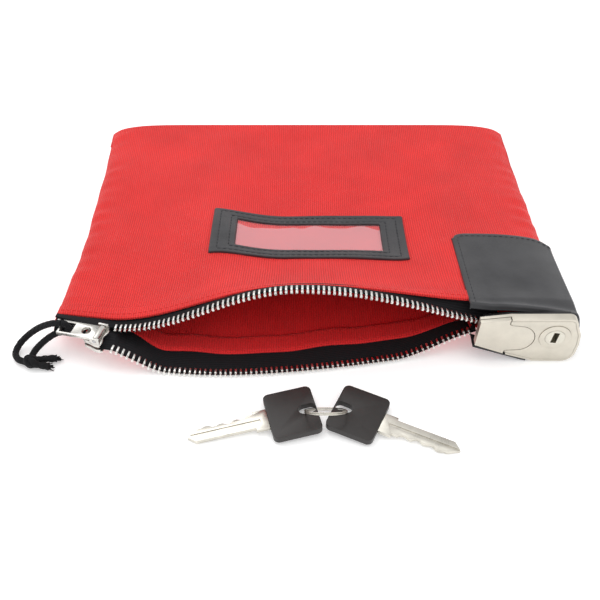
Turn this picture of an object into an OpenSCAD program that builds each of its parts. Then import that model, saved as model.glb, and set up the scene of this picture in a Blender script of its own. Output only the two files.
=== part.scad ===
// Locking cash deposit bag: woven nylon, heavy metal zip, key-operated zip lock and its two keys.
// It lies on its back panel. X runs along the mouth, +Y from the mouth to the folded edge, +Z up.

/* [Bag] */
// Width of the bag along the zip
bag_w = 278; // [270:1:286]
// Y of the folded edge, measured from the middle of the bag
fold_y = 108; // [106:1:110]
// Thickness of the nylon cloth
cloth = 1.2; // [0.8:0.1:1.4]
// Height of the pillow at the folded edge
pillow_h = 8; // [6:0.5:9]
// Height of the upper hem at the middle of the open mouth
arch_h = 45.5; // [42:0.5:47]

/* [Zip] */
// Spacing of the teeth along the zip
tooth_pitch = 2.7; // [2.5:0.1:3]
// Width of a tooth, along the zip
tooth_w = 1.35; // [1.2:0.05:1.5]
// Length of a tooth, across the zip
tooth_l = 4.6; // [4:0.1:5]
// Height of a tooth
tooth_h = 2.6; // [2.2:0.1:3]
// Width of the lower tape
tape_w = 16; // [14:0.5:17]

/* [Label] */
// Outer size of the label frame along X
label_w = 116; // [110:1:120]
// Outer size of the label frame along Y
label_d = 49; // [46:1:52]
// Size of the window along X
window_w = 86; // [80:1:90]
// Size of the window along Y
window_d = 30; // [26:1:32]

/* [Lock] */
// Y of the lock's front face
face_y = -115; // [-116:0.5:-114]
// Centre of the key plug along X
plug_x = 128.2; // [128:0.1:128.4]
// Height of the key plug's centre
plug_z = 18.5; // [18.3:0.1:18.7]
// Diameter of the ring around the plug
shell_d = 16.6; // [16:0.1:17]
// Diameter of the key plug
plug_d = 10.4; // [10:0.1:10.6]

/* [Keys] */
// Size of a key head along its blade
head_l = 25; // [24:0.5:26]
// Size of a key head across its blade
head_w = 29; // [27:0.5:30]
// Thickness of a key head
head_t = 3.4; // [3:0.1:3.6]
// Mean diameter of the key ring
ring_d = 21; // [20:0.5:22]

/* [Hidden] */
eps = 0.01;
gap = 0.3;
half_w = bag_w / 2;
arch_x = -5;
panel_top_y = fold_y - 8;

// Slider, zip and lips
slider_x = -113.4;
slider_y = -112;
slider_z = 14;
slider_w = 12.4;
slider_d = 12.6;
slider_h = 6.4;
// The slider and its tab are turned to follow the closed stretch
slider_turn = -16;
// The back panel's edge steps back here to make room for the slider
notch_x = -103.4;
chain_x = -119.6;
chain_end_x = -135;
chain_z = 14.5;
teeth_start_x = -105;
upper_teeth_end_x = 99;
lower_teeth_end_x = 86;
lock_x = 87;
tape_t = 0.7;

// Label: Y of its middle
label_y = -28;

// Lock: X and Z of the rivets, Y of the pin tumblers, X and Y of the latch's hinge pin
rivet_at = [[95, 23.5], [99, 14.4], [120, 5.6], [115, 24.6]];
pin_ys = [-113, -111, -109, -107];
latch_pin_at = [111, face_y + 1.25];

// Pull tab and its cord
tab_w = 9.6;
tab_t = 1.8;
tab_l = 22.8;
tab_pin = [slider_x + 2.4, slider_y, 19];
tab_dip = 3;
cord_d = 3.6;
bight = [-131.6, -106.8, 17.88];
bight_r = 3.1;
strand_a = [[-131.6, -106.8, 20.98], [-137, -105.7, 19.7], [-144.5, -103.4, 14.8], [-151.5, -102.6, 9],
            [-157, -105.4, 4.6], [-158.8, -110.8, 2.6], [-156.4, -115.6, 2.6], [-151.8, -118, 3]];
strand_b = [[-131.6, -106.8, 14.78], [-136.5, -107, 13.1], [-142, -108.6, 9.8], [-146.6, -111.8, 6.6],
            [-148.6, -115, 4.8]];
knot = [-148.4, -118.6, 3.9];

// Keys: the point on the table below each hole, and the way each blade points
key_z = 2.6;
key_tilt = 3;
key_a = [-1.5, -152.5];
key_a_turn = 194;
key_b = [16.5, -151.5];
key_b_turn = -24;
hole_in = 4.6;
blade_l = 41;
blade_w = 9;
blade_t = 2;
ring_wire = 0.55;
ring_c = [7.5, -156.6, 8.4];
ring_tilt = 43;
// Bitting: the depth of each cut along the blade's edge
cuts = [0, 1.6, 0.8, 2.4, 1.2, 2, 0.6, 1.4];

red = [0.89, 0.23, 0.22];
vinyl = [0.27, 0.27, 0.29];
tape_black = [0.10, 0.10, 0.11];
nickel = [0.80, 0.79, 0.76];
satin = [0.80, 0.77, 0.70];
steel = [0.62, 0.62, 0.63];

function sq(v) = v * v;
function mix(a, b, t) = a + (b - a) * t;
function ease(t) = let(c = min(1, max(0, t))) c * c * (3 - 2 * c);
function bell(t, power) = pow(max(0, cos(90 * min(1, abs(t)))), power);
function along(a, b, n) = [for (i = [0:n]) mix(a, b, i / n)];

// Upper lip: the line of teeth, and the hem of the cloth behind it
function up_y(x) = -110 + 10 * sq((x - arch_x) / 130);
function up_z(x) = x < arch_x ? 14 + 33.7 * bell((x - arch_x) / 103, 2)
                              : 16 + 31.7 * bell((x - arch_x) / 112, 1.3);
function hem_y(x) = up_y(x) + 6;
function hem_z(x) = x < arch_x ? 15.5 + (arch_h - 15.5) * bell((x - arch_x) / 103, 1.7)
    : 29.5 + (arch_h - 29.5) * bell((x - arch_x) / 100, 1.3) - 7.5 * sq(max(0, x - 95) / 44);

// Lower lip: it lies on the table in the middle and is lifted by the slider and the lock
function low_y(x) = x < -45 ? -125 + 7 * sq((x + 45) / 62) : -125 + 21 * pow((x + 45) / 135, 1.6);
function low_z(x) = 12 * ease((-75 - x) / 32) + 12 * ease((x - 45) / 43) * (1 - ease((x - 88) / 31));

// The closed stretch of the zip left of the slider
function chain_y(x) = mix(-100, -105, (x - chain_end_x) / (chain_x - chain_end_x));

// Half width of the bag, slightly waisted between fold and mouth
function side_x(v) = half_w - 2.4 * sin(180 * v);

// Panels: v runs from 0 at the fold to 1 at the hem
function far_z(x) = 2.5 + pillow_h * (1 - pow(min(1, abs(x) / half_w), 12));
function lift_power(x) = 1.5 + 3.3 * ease((x + 62) / 50) - 3 * ease((x - 50) / 36);
function front_z(x, v) = far_z(x) + (hem_z(x) - far_z(x)) * pow(min(1, v), lift_power(x));
function front_v(x, y) = (panel_top_y - y) / (panel_top_y - hem_y(x));
function panel_z(x, y) = front_z(x, front_v(x, y));
function back_edge_y(x) = x > lock_x ? hem_y(x) - 3
    : (x < notch_x ? max(chain_y(x) + 4, slider_y + slider_d / 2 + 2) : low_y(x) + 4);
function back_z(x, v) = low_z(x) * pow(v, 8);
function back_v(x, y) = (fold_y - 4 - y) / (fold_y - 4 - back_edge_y(x));
function floor_z(x, y) = back_z(x, min(1, back_v(x, y)));

// A sheet between two grids of points with the same rows: top faces up
module sheet(top, bottom) {
  n = len(top);
  m = len(top[0]);
  size = n * m;
  points = concat([for (r = top) each r], [for (r = bottom) each r]);
  up = [for (i = [0:n - 2], j = [0:m - 2]) let(a = i * m + j, b = a + m)
        each [[b + 1, a + 1, a], [b, b + 1, a]]];
  down = [for (f = up) [f[2] + size, f[1] + size, f[0] + size]];
  rim = concat([for (j = [0:m - 2]) j], [for (i = [0:n - 2]) i * m + m - 1],
               [for (j = [m - 1:-1:1]) (n - 1) * m + j], [for (i = [n - 1:-1:1]) i * m]);
  k = len(rim);
  sides = [for (i = [0:k - 1]) let(a = rim[i], b = rim[(i + 1) % k])
           each [[a + size, a, b], [b + size, a + size, b]]];
  polyhedron(points, concat(up, down, sides));
}

// A patch that lies on the front panel at a given height
module on_panel(x0, x1, y0, y1, lift, thick, nx, ny) {
  xs = along(x0, x1, nx);
  ys = along(y0, y1, ny);
  top = [for (x = xs) [for (y = ys) [x, y, panel_z(x, y) + lift + thick]]];
  bottom = [for (x = xs) [for (y = ys) [x, y, panel_z(x, y) + lift]]];
  sheet(top, bottom);
}

// A tube of round section swept along points, 8 sides
module tube(path, d) {
  n = len(path);
  sides = 8;
  function dir(i) = let(a = path[max(0, i - 1)], b = path[min(n - 1, i + 1)]) (b - a) / norm(b - a);
  function across(t) = let(c = cross(t, [0, 0, 1])) c / norm(c);
  rings = [for (i = [0:n - 1]) let(t = dir(i), u = across(t), w = cross(u, t))
           each [for (k = [0:sides - 1]) path[i] + d / 2 * (u * cos(45 * k) + w * sin(45 * k))]];
  skin = [for (i = [0:n - 2], k = [0:sides - 1])
          let(a = i * sides + k, b = i * sides + (k + 1) % sides)
          each [[a, b, b + sides], [a, b + sides, a + sides]]];
  caps = [[for (k = [sides - 1:-1:0]) k], [for (k = [0:sides - 1]) (n - 1) * sides + k]];
  polyhedron([for (p = rings) p], concat(skin, caps));
}

// Extrudes a shape drawn in X and Z from y0 to y1
module slab(y0, y1) {
  translate([0, y1, 0]) rotate([90, 0, 0]) linear_extrude(y1 - y0) children();
}

// A round rod along Y
module rod_y(x, z, y0, y1, d) {
  slab(y0, y1) translate([x, z]) circle(d = d, $fn = 48);
}

// One tooth: a small block, with its base on the tape
module tooth(x, y, z, turn) {
  translate([x, y, z]) rotate([0, 0, turn]) cube([tooth_w, tooth_l, tooth_h], center = true);
}

// ---- Bag ----

module back_panel() {
  vs = concat([0, 0.3, 0.5, 0.65, 0.75], along(0.8, 1, 8));
  notch = notch_x / half_w;
  ts = concat(along(-1, notch - 0.001, 9), along(notch + 0.001, 1, 52));
  function p(t, v, up) = let(x = t * side_x(v), y = mix(fold_y - 4, back_edge_y(t * half_w), v))
      [x, y, back_z(x, v) + up];
  color(red) sheet([for (t = ts) [for (v = vs) p(t, v, cloth)]],
                   [for (t = ts) [for (v = vs) p(t, v, 0)]]);
}

module far_fold() {
  xs = along(-half_w + 0.6, half_w - 0.6, 24);
  turns = along(-90, 90, 8);
  function p(x, a, r) = let(h = far_z(x) / 2)
      [x, fold_y - 4 + 0.2 + (4 - r) * cos(a), h + (h - r) * sin(a)];
  color(red) {
    sheet([for (x = xs) [for (a = turns) p(x, a, 0)]],
          [for (x = xs) [for (a = turns) p(x, a, cloth)]]);
    sheet([for (x = xs) [for (y = [fold_y - 3.8, panel_top_y + gap]) [x, y, far_z(x)]]],
          [for (x = xs) [for (y = [fold_y - 3.8, panel_top_y + gap]) [x, y, far_z(x) - cloth]]]);
  }
}

// A seam is the narrow wall of turned cloth that joins the two panels along one side
module side_seam(side) {
  vs = along(0.08, 0.98, 14);
  function y(v) = mix(panel_top_y, hem_y(side * half_w), v);
  function x(v, inset) = side * (side_x(v) - inset);
  function top(v, i) = front_z(x(v, i), v) - cloth - 0.4;
  function bottom(v, i) = floor_z(x(v, i), y(v)) + cloth + 0.2;
  outer = side > 0 ? 0.3 : 2.3;
  inner = side > 0 ? 2.3 : 0.3;
  top_grid = [for (i = [inner, outer])
              [for (v = vs) [x(v, i), y(v), max(top(v, i), bottom(v, i) + 0.3)]]];
  bottom_grid = [for (i = [inner, outer]) [for (v = vs) [x(v, i), y(v), bottom(v, i)]]];
  color(red) sheet(top_grid, bottom_grid);
}

module side_seam_left() {
  side_seam(-1);
}

module side_seam_right() {
  side_seam(1);
}

module hem_lower() {
  xs = along(notch_x + 2.5, lock_x - 2, 48);
  ys = [tape_w + 11, tape_w + 1];
  function p(x, d, up) = [x, low_y(x) + d, floor_z(x, low_y(x) + d) + cloth + 2 * gap + up];
  color(red) sheet([for (x = xs) [for (d = ys) p(x, d, 0.6)]],
                   [for (x = xs) [for (d = ys) p(x, d, 0)]]);
}

module zip_tape_lower() {
  xs = along(notch_x + 0.5, lock_x - 2, 48);
  ys = [tape_w, tape_w / 2, 4, tooth_l / 2 + 0.15];
  function p(x, d, up) = [x, low_y(x) + d, floor_z(x, low_y(x) + d) + cloth + 2 * gap + up];
  color(tape_black) sheet([for (x = xs) [for (d = ys) p(x, d, tape_t)]],
                          [for (x = xs) [for (d = ys) p(x, d, 0)]]);
}

module teeth_lower() {
  n = floor((lower_teeth_end_x - teeth_start_x) / tooth_pitch);
  color(nickel) for (i = [0:n]) {
    x = teeth_start_x + 0.9 + i * tooth_pitch;
    slope = atan((low_y(x + 1) - low_y(x - 1)) / 2);
    tooth(x, low_y(x), low_z(x) + tooth_h / 2 + 0.05, slope);
  }
}

// The teeth that stay closed between the slider and the bottom stop, with their tape
module zip_chain() {
  n = floor((chain_x - chain_end_x) / tooth_pitch);
  color(nickel) for (i = [0:n - 1]) {
    x = chain_end_x + 1.6 + i * tooth_pitch;
    tooth(x, chain_y(x), chain_z, -18);
  }
  xs = along(chain_end_x - 1.5, slider_x - slider_w / 2 - gap, 8);
  function p(x, d, up) = [x, chain_y(x) + d, chain_z - 2.4 + up];
  color(tape_black) sheet([for (x = xs) [for (d = [3.4, -3]) p(x, d, tape_t)]],
                          [for (x = xs) [for (d = [3.4, -3]) p(x, d, 0)]]);
}

module bottom_stop() {
  color(nickel) translate([chain_end_x - 0.9, chain_y(chain_end_x) - 0.2, chain_z])
    rotate([0, 0, -18]) cube([1.6, 5.4, 3], center = true);
}

module front_panel() {
  vs = concat(along(0, 0.6, 5), along(0.66, 1, 10));
  ts = along(-1, 1, 44);
  function p(t, v, up) = let(x = t * side_x(v), y = mix(panel_top_y, hem_y(x), v))
      [x, y, front_z(x, v) + up];
  color(red) sheet([for (t = ts) [for (v = vs) p(t, v, 0)]],
                   [for (t = ts) [for (v = vs) p(t, v, -cloth)]]);
}

// Turned and stitched edge on top of the front panel
module hem_upper() {
  xs = along(-half_w + 3, 82, 60);
  function p(x, d, up) = [x, hem_y(x) + d, panel_z(x, hem_y(x) + d) + 0.35 + up];
  color(red) sheet([for (x = xs) [for (d = [8, 4, 0.3]) p(x, d, 0.6)]],
                   [for (x = xs) [for (d = [8, 4, 0.3]) p(x, d, 0)]]);
}

// The upper tape runs from under the hem to the teeth, and to the closed chain at the left
function tape_front_y(x) = x < teeth_start_x ? mix(up_y(x), chain_y(x) + 3.6, ease((teeth_start_x - x) / 10))
                                             : up_y(x) + tooth_l / 2 + 0.8;
function tape_front_z(x) = x < teeth_start_x ? mix(up_z(x), chain_z + 1.2, ease((teeth_start_x - x) / 10))
                                             : up_z(x);
module zip_tape_upper() {
  xs = along(-half_w + 2.5, upper_teeth_end_x + 1, 72);
  function p(x, t, up) = [x, mix(hem_y(x) - 0.2, tape_front_y(x), t),
                          mix(hem_z(x) - 0.2, tape_front_z(x) + tape_t / 2, t) + up];
  color(tape_black) sheet([for (x = xs) [for (t = [0, 0.5, 1]) p(x, t, 0)]],
                          [for (x = xs) [for (t = [0, 0.5, 1]) p(x, t, -tape_t)]]);
}

module teeth_upper() {
  n = floor((upper_teeth_end_x - teeth_start_x) / tooth_pitch);
  color(nickel) for (i = [0:n]) {
    x = teeth_start_x + 0.9 + i * tooth_pitch;
    slope = atan((up_y(x + 1) - up_y(x - 1)) / 2);
    tooth(x, up_y(x), up_z(x), slope);
  }
}

module top_stop() {
  x = upper_teeth_end_x + 2.6;
  color(nickel) translate([x, up_y(x) + 0.6, up_z(x) + 0.8])
    rotate([0, -30, 20]) cube([1.8, 4.6, 3], center = true);
}

// ---- Label ----

module label_frame() {
  bx = (label_w - window_w) / 2;
  by = (label_d - window_d) / 2;
  x0 = -label_w / 2;
  y0 = label_y - label_d / 2;
  color(vinyl) {
    on_panel(x0, x0 + bx, y0 + label_d, y0, 0.5, 0.9, 4, 8);
    on_panel(-x0 - bx, -x0, y0 + label_d, y0, 0.5, 0.9, 4, 8);
    on_panel(x0 + bx + eps, -x0 - bx - eps, y0 + label_d, y0 + label_d - by, 0.5, 0.9, 20, 3);
    on_panel(x0 + bx + eps, -x0 - bx - eps, y0 + by, y0, 0.5, 0.9, 20, 3);
  }
}

module label_window() {
  w = window_w - 0.4;
  d = window_d - 0.4;
  color([0.95, 0.75, 0.75]) on_panel(-w / 2, w / 2, label_y + d / 2, label_y - d / 2, 0.5, 0.4, 20, 6);
}

// ---- Vinyl patches that hold the lock ----

module patch_upper() {
  xs = concat([84, 85.5], along(90, 138, 9), [140]);
  ys = along(-36, -104.4, 14);
  // The far corners are cut round
  function back_y(x) = -30 - 7 * sq(max(0, 91 - x) / 7) - 16 * sq(max(0, x - 124) / 16);
  function p(x, y, up) = [x, y, panel_z(min(x, half_w - 1), y) + 0.5 + up];
  function rows(x) = concat([back_y(x)], [for (y = ys) min(y, back_y(x) - 2 + 0.02 * y)]);
  color(vinyl) sheet([for (x = xs) [for (y = rows(x)) p(x, y, 1)]],
                     [for (x = xs) [for (y = rows(x)) p(x, y, 0)]]);
}

// The lower patch shows as a ledge along the lock's lower left edge
module patch_lower() {
  xs = along(lock_x - 1, 116, 10);
  function z(x) = max(0.02, mix(10.2, -0.6, (x - lock_x) / 30));
  color(vinyl) sheet([for (x = xs) [for (y = [-104.8, face_y + 0.6]) [x, y, z(x) + 1]]],
                     [for (x = xs) [for (y = [-104.8, face_y + 0.6]) [x, y, z(x)]]]);
}

// ---- Lock ----

// Face outline: a tapered left end, a big round at the lower right, a small one at the upper right
module face_outline(inset) {
  offset(delta = -inset) polygon(concat(
    [[87, 12.6], [88.2, 29.2], [104, 31.4], [124, 31.6]],
    [for (a = [90:-15:0]) [134.5 + 4.5 * cos(a), 27 + 4.5 * sin(a)]],
    [[141.6, 20], [142, 13]],
    [for (a = [0:-15:-90]) [134 + 7.4 * cos(a), 8 + 7.4 * sin(a)]],
    [[119, 0.8], [103, 6]]));
}

// The latch plate: the lock's tapered left end with a round tongue
module latch_outline(grow) {
  offset(delta = grow) polygon(concat(
    [[86.9, 12.6], [88, 29], [103.6, 31.2], [103.2, 28], [104.4, 27]],
    [for (a = [78:-12:-78]) [109 + 8.6 * cos(a), 17.8 + 8.6 * sin(a)]],
    [[104, 9], [103, 8.4], [102.6, 6.3]]));
}

// Everything right of x
module right_of(x) {
  translate([x, -5]) square([100, 60]);
}

module lock_boot() {
  color(tape_black) difference() {
    slab(-109.2, -105) boot_outline(0);
    slab(-109.3, -104.9) boot_outline(1.2);
    // The zip's upper end passes through the boot's left wall
    translate([90, -107.3, 17]) cube([3, 2.4, 7]);
  }
}

module boot_outline(inset) {
  offset(delta = -inset) polygon([[91, 15], [91, 26], [104, 28], [137, 28], [139.4, 22], [138.6, 7],
                                  [133, 2.6], [119, 2.6], [104, 8.6]]);
}

module lock_backing() {
  color(steel) difference() {
    slab(-110.4, -109.4) face_outline(1.6);
    rod_y(plug_x, plug_z, -111, -109, shell_d + 0.4);
  }
}

module lock_rivets() {
  color(steel) for (p = rivet_at) {
    rod_y(p[0], p[1], -109.38, -104.4, 2.2);
    rod_y(p[0], p[1], -104.4, -103.6, 3.8);
  }
}

module lock_tray() {
  color(satin) {
    difference() {
      slab(face_y + 0.02, -110.45) face_outline(0);
      slab(face_y - 1, -110.4) intersection() {
        face_outline(1.3);
        right_of(60);
      }
      slab(face_y - 1, -112.4) difference() {
        face_outline(-1);
        right_of(104);
      }
    }
  }
}

module lock_cover() {
  color(satin) difference() {
    slab(face_y, face_y + 1.6) difference() {
      intersection() {
        face_outline(1.45);
        right_of(103.4);
      }
      latch_outline(0.3);
    }
    rod_y(plug_x, plug_z, face_y - 1, face_y + 2, shell_d + 0.2);
    latch_pin_shape(2);
  }
}

module cylinder_shell() {
  color(satin) difference() {
    rod_y(plug_x, plug_z, face_y - 0.3, -104.6, shell_d);
    rod_y(plug_x, plug_z, face_y - 1, -104, plug_d + 0.2);
    for (y = pin_ys) translate([plug_x, y, plug_z]) cylinder(h = 8.1, d = 1.8, $fn = 32);
  }
}

module tumbler_pins() {
  color([0.78, 0.62, 0.3]) for (y = pin_ys)
    translate([plug_x, y, plug_z + plug_d / 2 + 0.06]) cylinder(h = 1.1, d = 1.6, $fn = 24);
}

module tumbler_springs() {
  color(steel) for (y = pin_ys, k = [0:2])
    translate([plug_x, y, plug_z + plug_d / 2 + 1.4 + 0.36 * k])
      rotate_extrude($fn = 24) translate([0.6, 0]) circle(d = 0.3, $fn = 13);
}

// ---- Pop-up latch ----

module latch_pin_shape(d) {
  translate([latch_pin_at[0], latch_pin_at[1], 7.4]) cylinder(h = 21, d = d, $fn = 32);
}

module latch_pin() {
  color(steel) latch_pin_shape(1.3);
}

module latch_spring() {
  color(steel) for (k = [0:4])
    translate([106, -111.6, 13 + 1.2 * k])
      rotate_extrude($fn = 32) translate([0.7, 0]) circle(d = 0.4, $fn = 13);
}

module pop_latch() {
  color(satin) difference() {
    slab(face_y, face_y + 2.4) latch_outline(0);
    latch_pin_shape(1.5);
  }
}

// ---- Key plug and bolt ----

module key_plug() {
  color(nickel) difference() {
    union() {
      rod_y(plug_x, plug_z, face_y - 0.5, -104.6, plug_d);
      rod_y(plug_x, plug_z, -104.7, -98, 4.6);
    }
    translate([plug_x, face_y + 3, plug_z]) rotate([0, 9, 0]) cube([2.9, 8, 7.2], center = true);
  }
}

module plug_clip() {
  color(steel) difference() {
    rod_y(plug_x, plug_z, -104.4, -103.7, 8);
    rod_y(plug_x, plug_z, -105, -103, 4.6);
  }
}

module plug_cam() {
  color(steel) difference() {
    slab(-102.4, -100.9) union() {
      translate([plug_x, plug_z]) circle(d = 7.6, $fn = 48);
      translate([plug_x - 5, plug_z - 1.4]) square([5, 2.8]);
    }
    rod_y(plug_x, plug_z, -103, -100, 4.6);
  }
}

// Bolt that catches the slider; it slides along X
module lock_bolt() {
  color(steel) translate([93.4, -109, 16.6]) cube([21, 2.3, 4]);
}

module bolt_link() {
  color(steel) {
    translate([107, -106.69, 17]) cube([5, 2.5, 3.2]);
    translate([107, -104.19, 17]) cube([12, 0.5, 3.2]);
  }
}

// ---- Slider, tab and cord ----

module turned() {
  translate([slider_x, slider_y, 0]) rotate([0, 0, slider_turn]) translate([-slider_x, -slider_y, 0])
    children();
}

module slider_body() {
  x0 = slider_x - slider_w / 2;
  y0 = slider_y - slider_d / 2;
  z0 = slider_z - slider_h / 2;
  plate = 1.4;
  inside = slider_h - 2 * plate;
  color(nickel) turned() difference() {
    translate([x0, y0, z0]) cube([slider_w, slider_d, slider_h]);
    // Two channels come in from the open side and meet in one on the closed side
    translate([x0 - 1, slider_y - 3.2, z0 + plate]) cube([7.4, 6.4, inside]);
    for (s = [-1, 1]) translate([x0 + 5.2, slider_y + s * 3.1 - 2.35, z0 + plate])
      cube([slider_w, 4.7, inside]);
    // Slots that let the tapes out at both sides
    for (s = [-1, 1]) translate([x0 - 1, slider_y + s * slider_d / 2 - 1.5, slider_z - 0.8])
      cube([slider_w + 2, 3, 1.6]);
  }
}

module slider_crown() {
  cheek = 1;
  color(nickel) turned() difference() {
    for (s = [-1, 1])
      translate([tab_pin[0] - 2.6, slider_y + s * (tab_w / 2 + 0.9) - cheek / 2, slider_z + slider_h / 2])
        cube([5.4, cheek, 3.6]);
    tab_rod(2.02);
  }
}

module tab_rod(d) {
  translate([tab_pin[0], slider_y - tab_w / 2 - 1.5, tab_pin[2]])
    rotate([-90, 0, 0]) cylinder(h = tab_w + 3, d = d, $fn = 32);
}

module tab_pin_rod() {
  color(steel) turned() tab_rod(1.9);
}

// The tab lies over the closed chain, with a window for the cord at its far end
module pull_tab() {
  color(nickel) turned() translate(tab_pin) rotate([0, -tab_dip, 0]) difference() {
    union() {
      translate([-tab_l, -tab_w / 2, -tab_t / 2]) cube([tab_l, tab_w, tab_t]);
      translate([0, tab_w / 2, 0]) rotate([90, 0, 0]) cylinder(h = tab_w, d = 3.4, $fn = 40);
    }
    translate([0, tab_w, 0]) rotate([90, 0, 0]) cylinder(h = 2 * tab_w, d = 2.1, $fn = 32);
    translate([-7.2, 0, -3]) cylinder(h = 6, d = 5, $fn = 40);
    translate([-tab_l + 1.6, -3.5, -3]) cube([6.4, 7, 6]);
  }
}

module cord_strand_a() {
  color(tape_black) tube(strand_a, cord_d);
}

module cord_strand_b() {
  color(tape_black) tube(strand_b, cord_d);
}

// The turn of the cord inside the tab's window
module cord_bight() {
  color(tape_black) translate(bight) rotate([90, 0, 0]) rotate([0, 0, -90])
    rotate_extrude(angle = 180, $fn = 48) translate([bight_r, 0]) circle(d = cord_d, $fn = 24);
}

module cord_knot() {
  color(tape_black) translate(knot) {
    sphere(d = 7.6, $fn = 32);
    translate([4.2, 1.9, -1.9]) rotate([0, 90, 14]) cylinder(h = 9, d = cord_d, $fn = 24);
    translate([4.2, -2, -1.9]) rotate([0, 90, 4]) cylinder(h = 6, d = cord_d, $fn = 24);
  }
}

// ---- Keys ----

// In a key's own frame the hole is at the origin and the blade points along +X
module key_at(p, turn) {
  translate([p[0], p[1], key_z]) rotate([0, key_tilt, turn]) children();
}

module rounded_rect(x0, y0, w, h, r) {
  translate([x0 + r, y0]) square([w - 2 * r, h]);
  translate([x0, y0 + r]) square([w, h - 2 * r]);
  for (x = [x0 + r, x0 + w - r], y = [y0 + r, y0 + h - r]) translate([x, y]) circle(r, $fn = 32);
}

module key_head() {
  color([0.13, 0.12, 0.12]) linear_extrude(head_t) difference() {
    rounded_rect(-hole_in, -head_w / 2, head_l, head_w, 3);
    translate([-1.6, 0]) circle(d = 5.8, $fn = 40);
    translate([1.8, 0]) circle(d = 5.8, $fn = 40);
    translate([-1.6, -2.9]) square([3.4, 5.8]);
  }
}

module key_blade() {
  x0 = head_l - hole_in + 0.05;
  step = (blade_l - 12) / len(cuts);
  color(nickel) translate([0, 0, (head_t - blade_t) / 2]) difference() {
    linear_extrude(blade_t) polygon(concat(
      [[x0, -blade_w / 2 - 1.6], [x0 + 7, -blade_w / 2 - 1.6], [x0 + 7, -blade_w / 2]],
      [for (i = [0:len(cuts) - 1]) each [[x0 + 8 + i * step, -blade_w / 2 + cuts[i]],
                                         [x0 + 8 + (i + 0.5) * step, -blade_w / 2 + cuts[i]]]],
      [[x0 + blade_l, 0.6], [x0 + blade_l - 4, blade_w / 2], [x0 + 7, blade_w / 2],
       [x0 + 7, blade_w / 2 + 1.6], [x0, blade_w / 2 + 1.6]]));
    translate([x0 + 4, -0.4, blade_t - 0.6]) cube([blade_l, 1.4, 1]);
  }
}

module key_ring() {
  color(nickel) translate(ring_c) rotate([-ring_tilt, 0, 0])
    rotate_extrude($fn = 72) translate([ring_d / 2, 0]) circle(ring_wire, $fn = 20);
}

module key_a_head() {
  key_at(key_a, key_a_turn) key_head();
}

module key_a_blade() {
  key_at(key_a, key_a_turn) key_blade();
}

module key_b_head() {
  key_at(key_b, key_b_turn) key_head();
}

module key_b_blade() {
  key_at(key_b, key_b_turn) key_blade();
}

back_panel();
far_fold();
side_seam_left();
side_seam_right();
hem_lower();
zip_tape_lower();
teeth_lower();
zip_chain();
bottom_stop();
patch_upper();
patch_lower();
lock_boot();
lock_backing();
lock_rivets();
lock_tray();
lock_cover();
cylinder_shell();
tumbler_pins();
tumbler_springs();
latch_pin();
latch_spring();
front_panel();
hem_upper();
zip_tape_upper();
teeth_upper();
top_stop();
label_frame();
label_window();
slider_body();
slider_crown();
tab_pin_rod();
pull_tab();
cord_strand_a();
cord_strand_b();
cord_bight();
cord_knot();
pop_latch();
key_plug();
plug_clip();
plug_cam();
lock_bolt();
bolt_link();
key_ring();
key_a_head();
key_a_blade();
key_b_head();
key_b_blade();
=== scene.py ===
import math

import bmesh
import bpy
import numpy as np
from mathutils import Matrix, Vector


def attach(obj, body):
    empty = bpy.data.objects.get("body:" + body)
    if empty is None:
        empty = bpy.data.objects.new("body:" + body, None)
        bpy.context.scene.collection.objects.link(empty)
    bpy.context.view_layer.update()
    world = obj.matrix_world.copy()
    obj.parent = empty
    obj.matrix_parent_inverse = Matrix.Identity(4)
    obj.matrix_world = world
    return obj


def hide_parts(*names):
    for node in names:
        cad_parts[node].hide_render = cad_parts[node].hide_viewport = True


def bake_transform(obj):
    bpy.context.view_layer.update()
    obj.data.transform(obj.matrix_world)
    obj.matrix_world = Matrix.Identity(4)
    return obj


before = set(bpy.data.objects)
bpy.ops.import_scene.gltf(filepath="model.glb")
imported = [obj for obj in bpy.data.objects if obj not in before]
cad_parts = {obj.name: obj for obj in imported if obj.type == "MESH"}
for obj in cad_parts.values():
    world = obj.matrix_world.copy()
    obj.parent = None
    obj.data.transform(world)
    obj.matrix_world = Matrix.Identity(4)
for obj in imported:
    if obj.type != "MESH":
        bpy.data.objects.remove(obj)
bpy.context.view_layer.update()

MM = 0.001
RNG = np.random.default_rng(7)

# ---- The bag's shape, in millimetres, as the CAD model has it ----

HALF_W = 139.0
PANEL_TOP_Y = 100.0
PILLOW_H = 8.0
ARCH_X = -5.0
ARCH_H = 45.5
LOCK_X = 87.0
TEETH_START_X = -105.0
UPPER_TEETH_END_X = 99.0
LOWER_TEETH_END_X = 86.0
CHAIN_END_X = -135.0
CHAIN_X = -119.6
CHAIN_Z = 14.5
PITCH = 2.7
CLOTH = 0.9

# The mouth's hinge, its turn when the zip is closed, and the height of the closed upper teeth
HINGE_Y = 104.0
CLOSE_ANGLE = math.radians(9.0)
CLOSED_Z = 15.8


def ease(t):
    t = np.clip(t, 0.0, 1.0)
    return t * t * (3 - 2 * t)


def bell(t, power):
    return np.maximum(0.0, np.cos(np.pi / 2 * np.minimum(1, np.abs(t)))) ** power


def up_y(x):
    return -110 + 10 * ((x - ARCH_X) / 130) ** 2


def up_z(x):
    left = 14 + 33.7 * bell((x - ARCH_X) / 103, 2)
    right = 16 + 31.7 * bell((x - ARCH_X) / 112, 1.3)
    return np.where(x < ARCH_X, left, right)


def hem_y(x):
    return up_y(x) + 6


def hem_z(x):
    left = 15.5 + (ARCH_H - 15.5) * bell((x - ARCH_X) / 103, 1.7)
    right = 29.5 + (ARCH_H - 29.5) * bell((x - ARCH_X) / 100, 1.3)
    right = right - 7.5 * (np.maximum(0, x - 95) / 44) ** 2
    return np.where(x < ARCH_X, left, right)


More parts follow.
